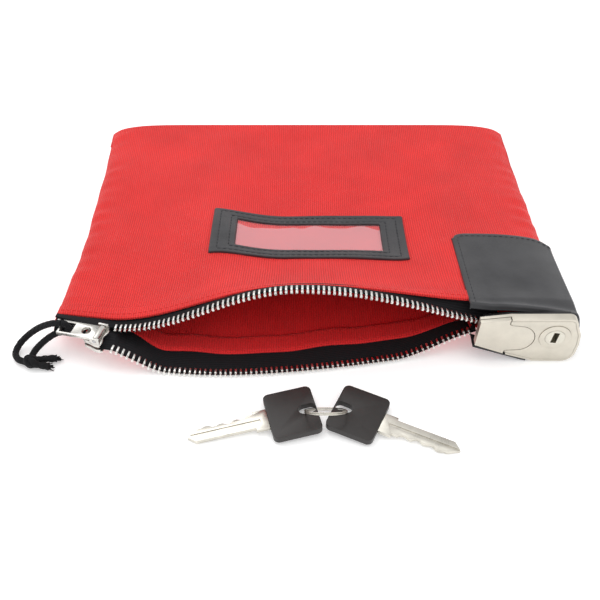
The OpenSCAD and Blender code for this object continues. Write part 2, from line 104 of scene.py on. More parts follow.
def low_y(x):
    left = -125 + 7 * ((x + 45) / 62) ** 2
    right = -125 + 21 * (np.maximum(x + 45, 0) / 135) ** 1.6
    return np.where(x < -45, left, right)


def low_z(x):
    return 12 * ease((-75 - x) / 32) + 12 * ease((x - 45) / 43) * (1 - ease((x - 88) / 31))


def chain_y(x):
    return -100 - 5 * (x - CHAIN_END_X) / (CHAIN_X - CHAIN_END_X)


def side_x(v):
    return HALF_W - 2.4 * np.sin(np.pi * np.clip(v, 0, 1))


def widened(x, v):
    """The right side stands out a little, where the lock holds the mouth wide."""
    return x + 3.8 * ease(v / 0.45) * np.clip((x - 60) / 79, 0, 1) ** 2


def far_z(x):
    return 2.5 + PILLOW_H * (1 - np.minimum(1, np.abs(x) / HALF_W) ** 12)


def front_z(x, v):
    power = 1.5 + 3.3 * ease((x + 62) / 50) - 3 * ease((x - 50) / 36)
    return far_z(x) + (hem_z(x) - far_z(x)) * np.clip(v, 0, 1) ** power


def front_v(x, y):
    return (PANEL_TOP_Y - y) / (PANEL_TOP_Y - hem_y(x))


def panel_z(x, y):
    return front_z(x, front_v(x, y))


def back_edge_y(x):
    left = np.where(x < TEETH_START_X, chain_y(x), low_y(x) - 0.7)
    return np.where(x > LOCK_X, hem_y(x) - 3, left)


def back_v(x, y):
    return (HINGE_Y - y) / (HINGE_Y - back_edge_y(x))


def floor_z(x, y):
    return low_z(x) * np.clip(back_v(x, y), 0, 1) ** 8


# ---- How far each point follows the closing mouth ----

def closed_panel_z(x, y):
    v = np.clip(front_v(x, y), 0, 1)
    hem = 17.5 + 12 * ease((x - 40) / 44)
    return far_z(x) + (np.minimum(hem, hem_z(x)) - far_z(x)) * v ** 1.1


def turn_share(z, closed_z, y):
    return np.clip((z - closed_z) / np.maximum(HINGE_Y - y, 25) / CLOSE_ANGLE, 0, 1)


def panel_share(x, y):
    y = np.maximum(y, hem_y(x))
    return turn_share(panel_z(x, y), closed_panel_z(x, y), y) * ease((PANEL_TOP_Y - y) / 30)


def teeth_share(x):
    return turn_share(up_z(x), CLOSED_Z, up_y(x))


def lip_share(x, y):
    """From the hem's share to the teeth's, across the upper tape."""
    t = ease((hem_y(x) - y) / (hem_y(x) - up_y(x)))
    return panel_share(x, hem_y(x)) * (1 - t) + teeth_share(x) * t


def low_share(x, y):
    """How far the lower lip is drawn up by the zip."""
    return (1 - low_z(x) / 12) * ease((back_v(x, y) - 0.72) / 0.26)


# ---- Mesh helpers ----

def mesh_object(name, verts, faces, smooth=True):
    mesh = bpy.data.meshes.new(name)
    mesh.from_pydata([tuple(v) for v in verts], [], [tuple(f) for f in faces])
    mesh.validate()
    mesh.update()
    obj = bpy.data.objects.new(name, mesh)
    bpy.context.scene.collection.objects.link(obj)
    if smooth:
        mesh.polygons.foreach_set("use_smooth", [True] * len(mesh.polygons))
    return obj


def bake(obj):
    """Applies the modifiers by keeping the evaluated mesh."""
    graph = bpy.context.evaluated_depsgraph_get()
    graph.update()
    mesh = bpy.data.meshes.new_from_object(obj.evaluated_get(graph))
    obj.modifiers.clear()
    obj.data = mesh
    return obj


def points(obj):
    co = np.empty(len(obj.data.vertices) * 3)
    obj.data.vertices.foreach_get("co", co)
    return co.reshape(-1, 3) / MM


def follow(obj, shares):
    """Bakes the piece's transform into its mesh; the share for each point is not used."""
    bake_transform(obj)
    return obj


def follow_panel(obj):
    p = points(obj)
    return follow(obj, panel_share(p[:, 0], p[:, 1]))


def grid(name, xyz, uv):
    """A sheet from an n by m table of points, in millimetres, with its cut size as UVs."""
    n, m = xyz.shape[:2]
    index = np.arange(n * m).reshape(n, m)
    a, b = index[:-1, :-1].ravel(), index[1:, :-1].ravel()
    c, d = index[1:, 1:].ravel(), index[:-1, 1:].ravel()
    obj = mesh_object(name, xyz.reshape(-1, 3) * MM, np.stack([a, b, c, d], 1))
    layer = obj.data.uv_layers.new(name="cut")
    loops = np.empty(len(obj.data.loops), dtype=np.int32)
    obj.data.loops.foreach_get("vertex_index", loops)
    layer.data.foreach_set("uv", (uv.reshape(-1, 2)[loops] * MM).ravel())
    return obj


def thicken(obj, thickness, offset=-1.0, inner=0, bevel=0.0):
    solid = obj.modifiers.new("thick", "SOLIDIFY")
    solid.thickness = thickness * MM
    solid.offset = offset
    solid.material_offset = inner
    if bevel:
        edge = obj.modifiers.new("edge", "BEVEL")
        edge.width = bevel * MM
        edge.segments = 2
        edge.angle_limit = math.radians(50)
    return obj


def merged(name, base, frames):
    """One mesh from a base (verts, faces) repeated at each 4x4 frame, in millimetres."""
    verts, faces = base
    count = len(verts)
    homogeneous = np.hstack([verts, np.ones((count, 1))])
    all_verts = np.vstack([(homogeneous @ np.array(f).T)[:, :3] for f in frames])
    all_faces = []
    for i in range(len(frames)):
        all_faces += [[k + i * count for k in face] for face in faces]
    return mesh_object(name, all_verts * MM, all_faces)


def arrays(bm):
    bm.verts.ensure_lookup_table()
    verts = np.array([v.co[:] for v in bm.verts])
    faces = [[v.index for v in f.verts] for f in bm.faces]
    bm.free()
    return verts, faces


def joined(obj, others):
    """Adds the other objects' meshes to the first one and removes them."""
    bm = bmesh.new()
    for other in [obj] + others:
        bm.from_mesh(other.data)
    bm.to_mesh(obj.data)
    bm.free()
    for other in others:
        bpy.data.objects.remove(other)
    return obj


def block(size, centre=(0, 0, 0), round_by=0.2, segments=2):
    bm = bmesh.new()
    bmesh.ops.create_cube(bm, size=1)
    for v in bm.verts:
        v.co = Vector(v.co[k] * size[k] + centre[k] for k in range(3))
    bmesh.ops.bevel(bm, geom=bm.edges[:], offset=round_by, segments=segments, profile=0.6,
                    affect="EDGES", clamp_overlap=True)
    bm.verts.index_update()
    return arrays(bm)


def ball(radii, centre=(0, 0, 0), rings=8):
    bm = bmesh.new()
    bmesh.ops.create_uvsphere(bm, u_segments=2 * rings, v_segments=rings, radius=1)
    for v in bm.verts:
        v.co = Vector(v.co[k] * radii[k] + centre[k] for k in range(3))
    bm.verts.index_update()
    return arrays(bm)


def together(*parts):
    verts, faces, count = [], [], 0
    for v, f in parts:
        verts.append(v)
        faces += [[k + count for k in face] for face in f]
        count += len(v)
    return np.vstack(verts), faces


def frame_at(point, x_dir, z_dir):
    """A 4x4 frame whose X follows x_dir and whose Z leans to z_dir."""
    x = np.array(x_dir, float) / np.linalg.norm(x_dir)
    y = np.cross(z_dir, x)
    y /= np.linalg.norm(y)
    z = np.cross(x, y)
    m = np.eye(4)
    m[:3, 0], m[:3, 1], m[:3, 2], m[:3, 3] = x, y, z, point
    return m


def smooth_path(route, step):
    """A Catmull-Rom curve through the route's points, at even steps."""
    p = np.array(route, float)
    p = np.vstack([2 * p[0] - p[1], p, 2 * p[-1] - p[-2]])
    fine = []
    for i in range(1, len(p) - 2):
        for t in np.linspace(0, 1, 40, endpoint=False):
            a, b, c, d = p[i - 1:i + 3]
            fine.append(0.5 * (2 * b + (c - a) * t + (2 * a - 5 * b + 4 * c - d) * t ** 2
                               + (3 * b - a - 3 * c + d) * t ** 3))
    fine.append(p[-2])
    fine = np.array(fine)
    along = np.concatenate([[0], np.cumsum(np.linalg.norm(np.diff(fine, axis=0), axis=1))])
    at = np.linspace(0, along[-1], max(3, int(along[-1] / step) + 1))
    return np.stack([np.interp(at, along, fine[:, k]) for k in range(3)], 1), along[-1]


def swept(name, path, radius, sides=20, relief=None):
    """A tube along a path; relief(angle, distance) adds to its radius. The ends are capped."""
    n = len(path)
    tangent = np.gradient(path, axis=0)
    tangent /= np.linalg.norm(tangent, axis=1)[:, None]
    side = np.cross(tangent[0], [0, 0, 1.0])
    if np.linalg.norm(side) < 0.1:
        side = np.cross(tangent[0], [0, 1.0, 0])
    rows = []
    along = np.concatenate([[0], np.cumsum(np.linalg.norm(np.diff(path, axis=0), axis=1))])
    angles = np.linspace(0, 2 * np.pi, sides, endpoint=False)
    for i in range(n):
        side = side - tangent[i] * np.dot(side, tangent[i])
        side /= np.linalg.norm(side)
        up = np.cross(side, tangent[i])
        r = radius if np.isscalar(radius) else radius[i]
        r = r + (relief(angles, along[i]) if relief else 0 * angles)
        rows.append(path[i] + r[:, None] * (np.outer(np.cos(angles), side) + np.outer(np.sin(angles), up)))
    verts = np.vstack(rows)
    faces = []
    for i in range(n - 1):
        for k in range(sides):
            q = (k + 1) % sides
            faces.append([i * sides + k, (i + 1) * sides + k, (i + 1) * sides + q, i * sides + q])
    verts = np.vstack([verts, path[0], path[-1]])
    first, last = n * sides, n * sides + 1
    for k in range(sides):
        q = (k + 1) % sides
        faces.append([first, k, q])
        faces.append([last, (n - 1) * sides + q, (n - 1) * sides + k])
    return mesh_object(name, verts * MM, faces)


def polished(node, body, material, width=0.25, segments=3, share=None):
    """A CAD node's own shape with its edges rounded, in place of the node."""
    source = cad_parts[node]
    bm = bmesh.new()
    bm.from_mesh(source.data)
    bm.transform(source.matrix_world)
    bmesh.ops.remove_doubles(bm, verts=bm.verts, dist=2e-6)
    bmesh.ops.dissolve_limit(bm, angle_limit=math.radians(1.5), verts=bm.verts, edges=bm.edges)
    mesh = bpy.data.meshes.new(node + "_finish")
    bm.to_mesh(mesh)
    bm.free()
    obj = bpy.data.objects.new(mesh.name, mesh)
    bpy.context.scene.collection.objects.link(obj)
    mesh.polygons.foreach_set("use_smooth", [True] * len(mesh.polygons))
    if width:
        edge = obj.modifiers.new("edge", "BEVEL")
        edge.width = width * MM
        edge.segments = segments
        edge.angle_limit = math.radians(35)
        edge.harden_normals = True
        edge.use_clamp_overlap = True
        bake(obj)
    obj.data.materials.clear()
    obj.data.materials.append(material)
    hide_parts(node)
    if share is None:
        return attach(obj, body)
    return follow(obj, share)


# ---- Materials ----

class Maker:
    """A small helper that builds a material's node tree."""

    def __init__(self, name):
        self.material = bpy.data.materials.new(name)
        self.material.use_nodes = True
        self.tree = self.material.node_tree
        self.shader = self.tree.nodes["Principled BSDF"]

    def node(self, kind, **inputs):
        n = self.tree.nodes.new(kind)
        for key, value in inputs.items():
            if key.startswith("_"):
                setattr(n, key[1:], value)
            else:
                self.feed(n.inputs[key.replace("__", " ")], value)
        return n

    def feed(self, socket, value):
        if isinstance(value, bpy.types.NodeSocket):
            self.tree.links.new(value, socket)
        elif isinstance(value, bpy.types.Node):
            self.tree.links.new(value.outputs[0], socket)
        else:
            socket.default_value = value

    def math(self, operation, a, b=0.0, c=0.0):
        n = self.tree.nodes.new("ShaderNodeMath")
        n.operation = operation
        for socket, value in zip(n.inputs, (a, b, c)):
            self.feed(socket, value)
        return n.outputs[0]

    def ramp(self, value, stops):
        n = self.tree.nodes.new("ShaderNodeValToRGB")
        self.feed(n.inputs[0], value)
        ramp = n.color_ramp
        while len(ramp.elements) < len(stops):
            ramp.elements.new(0.5)
        for element, (at, colour) in zip(ramp.elements, stops):
            element.position = at
            element.color = (*colour, 1)
        return n.outputs[0]

    def noise(self, vector, scale, detail=3.0, roughness=0.55):
        n = self.node("ShaderNodeTexNoise", Scale=scale, Detail=detail, Roughness=roughness)
        self.feed(n.inputs["Vector"], vector)
        return n.outputs[0]

    def coordinates(self, kind="Object"):
        return self.tree.nodes.new("ShaderNodeTexCoord").outputs[kind]

    def bump(self, height, strength, distance):
        n = self.tree.nodes.new("ShaderNodeBump")
        self.feed(n.inputs["Height"], height)
        n.inputs["Strength"].default_value = strength
        n.inputs["Distance"].default_value = distance
        self.feed(self.shader.inputs["Normal"], n.outputs[0])

    def set(self, **values):
        names = dict(colour="Base Color", rough="Roughness", metal="Metallic", sheen="Sheen Weight",
                     sheen_rough="Sheen Roughness", coat="Coat Weight", coat_rough="Coat Roughness",
                     alpha="Alpha", ior="IOR", specular="Specular IOR Level", aniso="Anisotropic",
                     transmission="Transmission Weight")
        for key, value in values.items():
            self.feed(self.shader.inputs[names[key]], value)
        return self.material


def weave_height(m, uv, x_period, y_period):
    """A plain weave: threads that pass over and under, with ribs along the warp."""
    split = m.node("ShaderNodeSeparateXYZ", Vector=uv)
    wobble = m.noise(uv, 220, 2)
    x = m.math("MULTIPLY_ADD", wobble, 0.00018, split.outputs[0])
    y = m.math("MULTIPLY_ADD", wobble, 0.00018, split.outputs[1])
    ax = m.math("MULTIPLY", x, math.pi / x_period)
    ay = m.math("MULTIPLY", y, math.pi / y_period)
    sx, sy = m.math("SINE", ax), m.math("SINE", ay)
    warp = m.math("ABSOLUTE", sx)
    weft = m.math("ABSOLUTE", sy)
    cell = m.math("MULTIPLY", m.math("SINE", m.math("MULTIPLY", ax, 1.0)), sy)
    over = m.math("MULTIPLY_ADD", m.math("SIGN", cell), 0.3, 0.5)
    rib = m.math("MULTIPLY", m.math("POWER", warp, 0.6), 0.6)
    cross = m.math("MULTIPLY", m.math("POWER", weft, 0.8), 0.4)
    return m.math("MULTIPLY_ADD", over, 0.35, m.math("ADD", rib, cross))


def nylon(name, light, dark, rough=0.62):
    m = Maker(name)
    uv = m.tree.nodes.new("ShaderNodeUVMap")
    uv.uv_map = "cut"
    height = weave_height(m, uv.outputs[0], 1.3 * MM, 1.15 * MM)
    blotch = m.noise(uv.outputs[0], 26, 4)
    # The weave's colour follows its height: painted shade in the hollows between the threads and painted
    # light on their tops.
    thread = m.ramp(height, [(0.25, dark), (0.85, light)])
    shade = m.ramp(blotch, [(0.3, (0.86, 0.86, 0.86)), (0.7, (1.04, 1.02, 1.02))])
    mix = m.node("ShaderNodeMix", _data_type="RGBA", _blend_type="MULTIPLY")
    mix.inputs[0].default_value = 1.0
    m.feed(mix.inputs[6], thread)
    m.feed(mix.inputs[7], shade)
    m.bump(height, 1.0, 0.00045)
    return m.set(colour=mix.outputs[2], rough=rough, sheen=0.06, sheen_rough=0.4, specular=0.2)


def vinyl(name, colour, rough=0.38):
    m = Maker(name)
    at = m.coordinates()
    cells = m.node("ShaderNodeTexVoronoi", Scale=1500.0)
    cells.feature = "DISTANCE_TO_EDGE"
    m.feed(cells.inputs["Vector"], at)
    grain = m.math("MINIMUM", m.math("MULTIPLY", cells.outputs[0], 5.0), 1.0)
    soft = m.noise(at, 60, 3)
    height = m.math("MULTIPLY_ADD", grain, 0.6, m.math("MULTIPLY", soft, 0.8))
    m.bump(height, 0.25, 0.0002)
    roughness = m.math("MULTIPLY_ADD", soft, 0.14, rough - 0.07)
    light = tuple(min(1, 1.35 * c + 0.006) for c in colour)
    worn = m.ramp(m.noise(at, 95, 5), [(0.35, colour), (0.75, light)])
    return m.set(colour=worn, rough=roughness, specular=0.45)


def tape_cloth(name, colour):
    m = Maker(name)
    uv = m.tree.nodes.new("ShaderNodeUVMap")
    uv.uv_map = "cut"
    split = m.node("ShaderNodeSeparateXYZ", Vector=uv.outputs[0])
    twill = m.math("ADD", split.outputs[0], split.outputs[1])
    rib = m.math("SINE", m.math("MULTIPLY", split.outputs[1], 2 * math.pi / (1.3 * MM)))
    fine = m.math("SINE", m.math("MULTIPLY", twill, 2 * math.pi / (0.6 * MM)))
    height = m.math("MULTIPLY_ADD", fine, 0.3, m.math("MULTIPLY_ADD", rib, 0.3, 0.5))
    # The twill's colour follows its height: painted light on the ridges' tops and painted shade in the
    # hollows between them.
    light = tuple(2.6 * c + 0.006 for c in colour)
    m.bump(height, 0.5, 0.0002)
    return m.set(colour=m.ramp(height, [(0.1, colour), (1.0, light)]), rough=0.85, sheen=0.04, specular=0.15)


def metal(name, colour, rough, grain=(1, 1, 1), scratch=0.12, wear=0.06, metallic=1.0):
    """Plated metal: fine brushing stretched by grain, cloudy patches and small scratches."""
    m = Maker(name)
    at = m.coordinates()
    scale = m.node("ShaderNodeMapping", Vector=at)
    scale.inputs["Scale"].default_value = grain
    brush = m.noise(scale.outputs[0], 900, 3)
    cloud = m.noise(at, 130, 4)
    worn = m.math("MULTIPLY_ADD", cloud, scratch, rough - scratch)
    roughness = m.math("MULTIPLY_ADD", brush, scratch, worn)
    dark = tuple(c * (1 - 2.2 * wear) for c in colour)
    light = tuple(min(1, c * (1 + wear)) for c in colour)
    tint = m.ramp(cloud, [(0.3, dark), (0.6, colour), (0.85, light)])
    m.bump(brush, 0.12, 0.00006)
    return m.set(colour=tint, rough=roughness, metal=metallic)


def plastic(name, colour, rough=0.45):
    m = Maker(name)
    at = m.coordinates()
    grain = m.noise(at, 2600, 2)
    cloud = m.noise(at, 120, 3)
    m.bump(grain, 0.2, 0.00005)
    light = tuple(1.5 * c + 0.005 for c in colour)
    roughness = m.math("MULTIPLY_ADD", cloud, 0.12, rough - 0.06)
    return m.set(colour=m.ramp(cloud, [(0.3, colour), (0.8, light)]), rough=roughness)


def thread(name, colour, rough=0.7):
    m = Maker(name)
    at = m.coordinates()
    strands = m.noise(at, 2400, 3)
    light = tuple(min(1, 1.7 * c + 0.003) for c in colour)
    m.bump(strands, 0.5, 0.0001)
    shade = m.ramp(strands, [(0.3, colour), (0.8, light)])
    return m.set(colour=shade, rough=rough, sheen=0.05, specular=0.25)


def clear_vinyl(name):
    m = Maker(name)
    at = m.coordinates()
    ripple = m.noise(at, 34, 3)
    m.bump(ripple, 0.25, 0.0012)
    uv = m.tree.nodes.new("ShaderNodeUVMap")
    uv.uv_map = "cut"
    split = m.node("ShaderNodeSeparateXYZ", Vector=uv.outputs[0])
    # Painted reflection: the film's pale pink stands for the bright room reflected in it. It fades, letting
    # more red cloth show, along its far edge and at a few spots, where the film lies close on the cloth; it
    # stays fuller elsewhere, where the film stands off.
    far = m.math("MULTIPLY_ADD", split.outputs[1], 130.0, 2.5)
    spots = m.math("MULTIPLY_ADD", m.noise(uv.outputs[0], 40, 1), -2.4, 1.4)
    reflection_fade = m.math("ADD", far, spots)
    painted_reflection_alpha = m.ramp(reflection_fade, [(0.40, (0.40, 0.40, 0.40)), (0.50, (0.12, 0.12, 0.12))])
    haze = m.math("MULTIPLY_ADD", m.noise(at, 60, 4), 0.10, 0.08)
    return m.set(colour=(0.90, 0.62, 0.66, 1), rough=haze, alpha=painted_reflection_alpha, specular=0.6, coat=0.5,
                 coat_rough=0.06)


RED_OUT = nylon("nylon_red", (0.86, 0.040, 0.038), (0.28, 0.007, 0.007))
# The cloth's inner faces and the lower hem, seen inside the mouth, take a lighter copy of the red nylon:
# painted light that makes up for the light the inside loses to occlusion.
RED_INSIDE_LIT = nylon("nylon_inside_lit", (0.86, 0.030, 0.032), (0.50, 0.010, 0.011), rough=0.72)
TAPE = tape_cloth("zip_tape", (0.004, 0.004, 0.005))
VINYL = vinyl("vinyl_black", (0.026, 0.026, 0.029), 0.34)
VINYL_DARK = vinyl("vinyl_shadow", (0.006, 0.006, 0.007), 0.5)
ZIP_METAL = metal("zip_nickel", (0.80, 0.79, 0.76), 0.26)
SLIDER_METAL = metal("slider_nickel", (0.74, 0.72, 0.68), 0.30, scratch=0.18, wear=0.12)
LOCK_SATIN = metal("lock_satin", (0.66, 0.62, 0.54), 0.44, grain=(1, 1, 12), scratch=0.08, wear=0.04)
PLUG_METAL = metal("plug_satin", (0.68, 0.65, 0.57), 0.36, scratch=0.1)
STEEL = metal("plain_steel", (0.50, 0.50, 0.51), 0.42)
BRASS = metal("brass", (0.72, 0.52, 0.22), 0.35)
KEY_METAL = metal("key_nickel", (0.70, 0.67, 0.60), 0.30, grain=(10, 1, 1), scratch=0.14, wear=0.1)
KEY_BLACK = plastic("key_black", (0.012, 0.009, 0.008), 0.38)
CORD_BLACK = thread("cord_black", (0.004, 0.004, 0.005), 0.85)
RED_THREAD = thread("thread_red", (0.50, 0.020, 0.018))
BLACK_THREAD = thread("thread_black", (0.030, 0.030, 0.034))
CLEAR = clear_vinyl("clear_vinyl")

# ---- Camera ----

camera = bpy.data.objects.new("camera", bpy.data.cameras.new("camera"))
bpy.context.scene.collection.objects.link(camera)
bpy.context.scene.camera = camera
camera.location = (-0.0054, -0.444, 0.3522)
camera.rotation_euler = (math.radians(47), 0, 0)
camera.data.sensor_width = 36
camera.data.lens = 53.6

# ---- Cord: two strands, the turn inside the tab's window, and the knot ----

CORD_D = 3.6
BIGHT = (-131.6, -106.8, 17.88)
BIGHT_R = 3.1
STRAND_A = [(-131.6, -106.8, 20.98), (-137, -105.7, 19.7), (-144.5, -103.4, 14.8), (-151.5, -102.6, 9),
            (-157, -105.4, 4.6), (-158.8, -110.8, 2.6), (-156.4, -115.6, 2.6), (-151.8, -118, 3)]
STRAND_B = [(-131.6, -106.8, 14.78), (-136.5, -107, 13.1), (-142, -108.6, 9.8), (-146.6, -111.8, 6.6),
            (-148.6, -115, 4.8)]
KNOT = np.array([-148.4, -118.6, 3.9])


def braid(angles, along):
    """Two sets of yarns that cross round the cord."""
    right = np.cos(4 * angles + along * 1.8)
    left = np.cos(4 * angles - along * 1.8)
    return 0.2 * np.maximum(right, left) - 0.1


def cord_piece(name, route):
    path, length = smooth_path(route, 0.35)
    obj = swept(name, path, CORD_D / 2 - 0.06, 24, braid)
    obj.data.materials.append(CORD_BLACK)
    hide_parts(name.replace("_braid", ""))
    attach(obj, "cord")
    return obj, path, length


def cord_bight():
    turn = np.linspace(-90, 90, 26) * math.pi / 180
    path = np.stack([BIGHT[0] + BIGHT_R * np.cos(turn), np.full(26, BIGHT[1]),
                     BIGHT[2] + BIGHT_R * np.sin(turn)], 1)
    obj = swept("cord_bight_braid", path, CORD_D / 2 - 0.06, 24, braid)
    obj.data.materials.append(CORD_BLACK)
    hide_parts("cord_bight")
    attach(obj, "cord")
    return obj


def cord_knot():
    """An overhand knot of the doubled cord, with two short cut ends."""
    around = np.linspace(0, 2 * math.pi, 44)
    loops = []
    for turn, lean, radius, shift in ((0.2, 1.15, 2.2, (0, 0, 0)), (1.3, 0.95, 2.05, (-1.0, 0.3, 0.2)),
                                      (2.4, 1.2, 2.1, (1.1, -0.3, -0.1)), (0.9, 0.25, 2.3, (0.2, 0, 0.3))):
        ring = np.stack([radius * np.cos(around), radius * np.sin(around), 0 * around], 1)
        tip = np.array(Matrix.Rotation(turn, 3, "Z") @ Matrix.Rotation(lean, 3, "X"))
        loops.append(swept("turn", ring @ tip.T + KNOT + shift, 1.6, 18, braid))
    obj = loops[0]
    obj.name = "cord_knot_turns"
    tails = loops[1:]
    for start, end in (((1.5, 1.2, 0.2), (12.6, 3.9, -1.6)), ((1.0, -1.6, -0.4), (9.6, -2.0, -1.7))):
        path, _ = smooth_path([KNOT + start, KNOT + 0.5 * (np.array(start) + end) + [0, 0, 0.2],
                               KNOT + end], 0.35)
        tail = swept("tail", path, np.linspace(1.6, 2.1, len(path)), 20, braid)
        tails.append(tail)
        for _ in range(34):
            spread = RNG.normal(0, 0.85, 3)
            a = path[-1] + spread * 0.7
            direction = (path[-1] - path[-3]) / np.linalg.norm(path[-1] - path[-3])
            b = a + direction * RNG.uniform(0.9, 1.9) + spread * 0.3
            b[2] = max(b[2], 0.5)
            a[2] = max(a[2], 0.5)
            tails.append(swept("fray", np.array([a - 1.5 * direction, a, b]), 0.24, 6))
    obj = joined(obj, tails)
    obj.data.materials.append(CORD_BLACK)
    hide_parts("cord_knot")
    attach(obj, "cord")
    return obj


bight = cord_bight()
knot = cord_knot()
strand_a, path_a, length_a = cord_piece("cord_strand_a_braid", STRAND_A)
strand_b = cord_piece("cord_strand_b_braid", STRAND_B)[0]

# ---- Cloth ----

def folds(x, y, seed, size, depth):
    """Soft random creases: a few sine waves that cross at odd angles."""
    rng = np.random.default_rng(seed)
    total = 0 * x
    for _ in range(9):
        angle = rng.uniform(0, math.pi)
        wave = size * rng.uniform(0.6, 1.7)
        phase = rng.uniform(0, 2 * math.pi)
        total = total + np.sin((x * math.cos(angle) + y * math.sin(angle)) * 2 * math.pi / wave + phase)
    return depth * total / 3


def seam_z(x, v):
    """Height of the side seams, midway between the two panels."""
    y = PANEL_TOP_Y + (hem_y(x) - PANEL_TOP_Y) * v
    return 0.5 * (front_z(x, v) + floor_z(x, y))


def edge_drop(t):
    """0 over the panel, 1 at the side seam, round in between."""
    start = 1 - 8 / HALF_W
    s = np.clip((np.abs(t) - start) / (1 - start), 0, 1)
    return 1 - np.sqrt(np.maximum(0, 1 - s ** 2))


def puckers(t, y, seed):
    """Short creases that run in from the side seams."""
    near = ease((np.abs(t) - 0.86) / 0.12)
    return near * (0.5 * np.sin(y / 3.1 + 2 * np.sin(y / 13 + seed)) + 0.35 * np.sin(y / 1.9 + seed))


def side_wiggle(y, seed):
    return 0.35 * np.sin(y / 15 + seed) + 0.2 * np.sin(y / 5.3 + 2 * seed)


def cloth_z(x, y, relaxed=1.0):
    """The upper surface of the front panel, with its creases and its rounded sides."""
    v = np.clip(front_v(x, y), 0, 1)
    t = x / side_x(v)
    calm = relaxed * (1 - ease((v - 0.9) / 0.08))
    z = front_z(x, v) + calm * (folds(x, y, 3, 95, 0.55) + folds(x, y, 5, 34, 0.13)) * ease(v / 0.08)
    z = z + puckers(t, y, 0.4) * calm
    # A slack fold runs from the label's left end to the slider, and one down the right side
    crease = (x + 78) * 0.92 + (y + 60) * 0.38
    z = z - 1.6 * np.exp(-(crease / 8) ** 2) * ease((v - 0.25) / 0.3) * calm
    crease = (x - 70) * 0.97 - (y + 40) * 0.22
    z = z + 0.9 * np.exp(-(crease / 9) ** 2) * ease((v - 0.1) / 0.3) * calm
    return z + (seam_z(x, v) - z) * edge_drop(t)


def front_cloth():
    """The front panel, round the folded edge and a little way under it."""
    n = 281
    t = np.linspace(-1, 1, n)
    v = np.linspace(0, 1, n * 3 // 4)
    T, V = np.meshgrid(t, v, indexing="ij")
    X = T * side_x(V)
    Y = PANEL_TOP_Y + (hem_y(X) - PANEL_TOP_Y) * V
    Z = cloth_z(X, Y)
    X = widened(X + np.sign(T) * np.abs(T) ** 6 * side_wiggle(Y, 1.3 + np.sign(T)), V)
    # The fold itself: half an ellipse from the panel's top down to the table
    turns = np.linspace(90, -90, 19)[:-1]
    X0, Z0 = X[:, 0], Z[:, 0]
    h = np.maximum(Z0, 1.2) / 2
    straight = [np.stack([X0, np.full(n, PANEL_TOP_Y + s), Z0], 1) for s in (1.5, 3.0)]
    bend = [np.stack([X0, HINGE_Y + 3.8 * math.cos(math.radians(a)) * np.ones(n),
                      h + h * math.sin(math.radians(a)) + 0.02], 1) for a in turns]
    under = [np.stack([X0, np.full(n, y), np.full(n, 0.02)], 1) for y in (HINGE_Y, 100.0, 92.0)]
    rows = np.stack(under[::-1] + bend[::-1] + straight[::-1], 1)
    xyz = np.concatenate([rows, np.stack([X, Y, Z], 2)], 1)
    steps = np.linalg.norm(np.diff(xyz, axis=1), axis=2)
    down = np.concatenate([[np.zeros(n)], np.cumsum(steps, axis=1).T]).T
    uv = np.stack([np.broadcast_to((t * HALF_W)[:, None], down.shape), down], 2)
    obj = grid("front_cloth", xyz[:, ::-1], uv[:, ::-1])
    obj.data.materials.append(RED_OUT)
    obj.data.materials.append(RED_INSIDE_LIT)
    thicken(obj, CLOTH, -1, inner=1)
    bake(obj)
    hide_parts("front_panel", "far_fold")
    return follow_panel(obj)


def back_cloth():
    n = 221
    t = np.linspace(-1, 1, n)
    v = np.linspace(0, 1, n * 3 // 4)
    T, V = np.meshgrid(t, v, indexing="ij")
    X = T * side_x(V)
    # The cloth ends on the tape, behind the teeth
    edge = back_edge_y(X) + 3.4 * ease((X - TEETH_START_X + 6) / 4) * ease((LOCK_X + 4 - X) / 5)
    Y = (HINGE_Y - 1.5) + (edge - HINGE_Y + 1.5) * V
    X = X + np.sign(T) * np.abs(T) ** 6 * side_wiggle(Y, 1.3 + np.sign(T))
    inner = 1 - ease((np.abs(T) - 0.9) / 0.08)
    Z = floor_z(X, Y) + 0.25 * (1 + folds(X, Y, 8, 70, 0.5)) * inner * ease(V * 8)
    Z = np.maximum(Z, 0.04)
    Z = Z + (seam_z(X, V) - Z) * edge_drop(T)
    xyz = np.stack([widened(X, V), Y, Z], 2)
    uv = np.stack([T * HALF_W, -Y], 2)
    obj = grid("back_cloth", xyz, uv)
    obj.data.materials.append(RED_OUT)
    obj.data.materials.append(RED_INSIDE_LIT)
    thicken(obj, CLOTH, -1, inner=1)
    bake(obj)
    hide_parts("back_panel", "side_seam_left", "side_seam_right")
    p = points(obj)
    return follow(obj, low_share(p[:, 0], p[:, 1]))


front = front_cloth()
back = back_cloth()

# ---- Trim: hems, tapes, stitches ----

def strip(name, xs, ds, point, material, thickness, offset=-1.0):
    """A ribbon along the zip: point(x, d) gives its surface, d its distance across."""
    X, D = np.meshgrid(xs, ds, indexing="ij")
    xyz = np.stack(point(X, D), 2)
    obj = grid(name, xyz[:, ::-1], np.stack([X, D], 2)[:, ::-1])
    obj.data.materials.append(material)
    thicken(obj, thickness, offset)
    return bake(obj)


